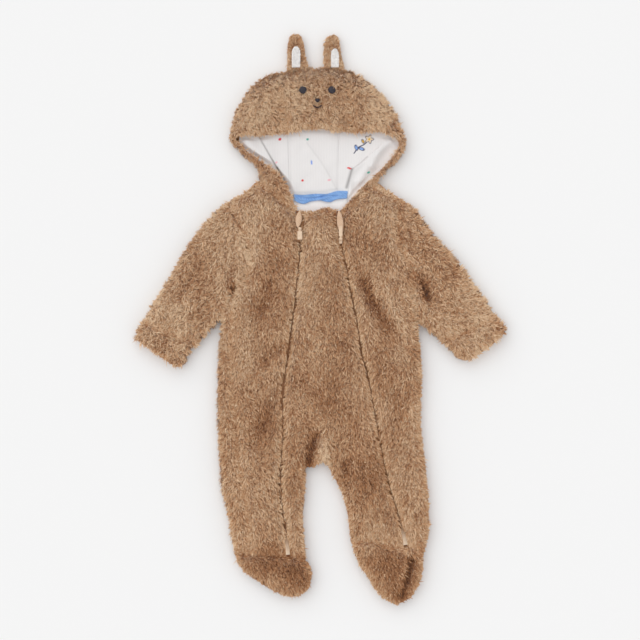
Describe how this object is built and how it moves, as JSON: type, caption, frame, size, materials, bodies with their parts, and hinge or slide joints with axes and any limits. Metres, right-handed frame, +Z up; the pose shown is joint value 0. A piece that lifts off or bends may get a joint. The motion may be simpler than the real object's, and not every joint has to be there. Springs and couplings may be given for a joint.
{
  "type": "pramsuit",
  "caption": "Baby's plush all-in-one with a hood, small upright ears, long sleeves, closed feet and full-length front zips, laid out flat on its back.",
  "frame": {"origin": "centre of the bounding box's underside, on the surface the garment lies on", "axes": "+Y from the feet to the hood, +X to the right of someone who looks down at it with the hood away from them, +Z up, out of its front"},
  "size_m": [0.5034, 0.7716, 0.0243],
  "materials": {
    "tan_plush": "teddy plush, matte",
    "white_jersey": "cotton jersey, matte",
    "blue_twill_tape": "twill tape, matte",
    "white_plush": "short plush, matte",
    "brown_zip": "woven zip tape",
    "beige_twill": "twill, matte",
    "beige_painted_metal": "satin enamel"
  },
  "bodies": {
    "garment": {"front_left": "tan_plush", "front_centre": "tan_plush", "front_right": "tan_plush", "back": "tan_plush", "sleeve_left": "tan_plush", "sleeve_right": "tan_plush", "foot_top_left": "tan_plush", "foot_top_right": "tan_plush", "sole_left": "tan_plush", "sole_right": "tan_plush", "hood_side_left": "tan_plush", "hood_side_right": "tan_plush", "hood_centre": "tan_plush", "ear_left": "tan_plush", "ear_right": "tan_plush", "hood_lining_left": "white_jersey", "hood_lining_centre": "white_jersey", "hood_lining_right": "white_jersey", "back_neck_lining": "white_jersey", "neck_tape": "blue_twill_tape", "ear_insert_left": "white_plush", "ear_insert_right": "white_plush", "zip_left": "brown_zip", "zip_right": "brown_zip", "zip_guard_left": "beige_twill", "zip_guard_right": "beige_twill", "slider_left": "beige_painted_metal", "slider_right": "beige_painted_metal"},
    "tab_left": {"pull_tab_left": "beige_painted_metal"},
    "tab_right": {"pull_tab_right": "beige_painted_metal"}
  },
  "joints": [
    {"name": "tab_left_swing", "type": "hinge", "parent": "garment", "child": "tab_left", "pos_m": [-0.0272, 0.1215, 0.0224], "axis": [-1, 0, 0], "range_deg": [0, 150]},
    {"name": "tab_right_swing", "type": "hinge", "parent": "garment", "child": "tab_right", "pos_m": [0.0278, 0.1075, 0.0224], "axis": [1, 0, 0], "range_deg": [0, 150]}
  ]
}
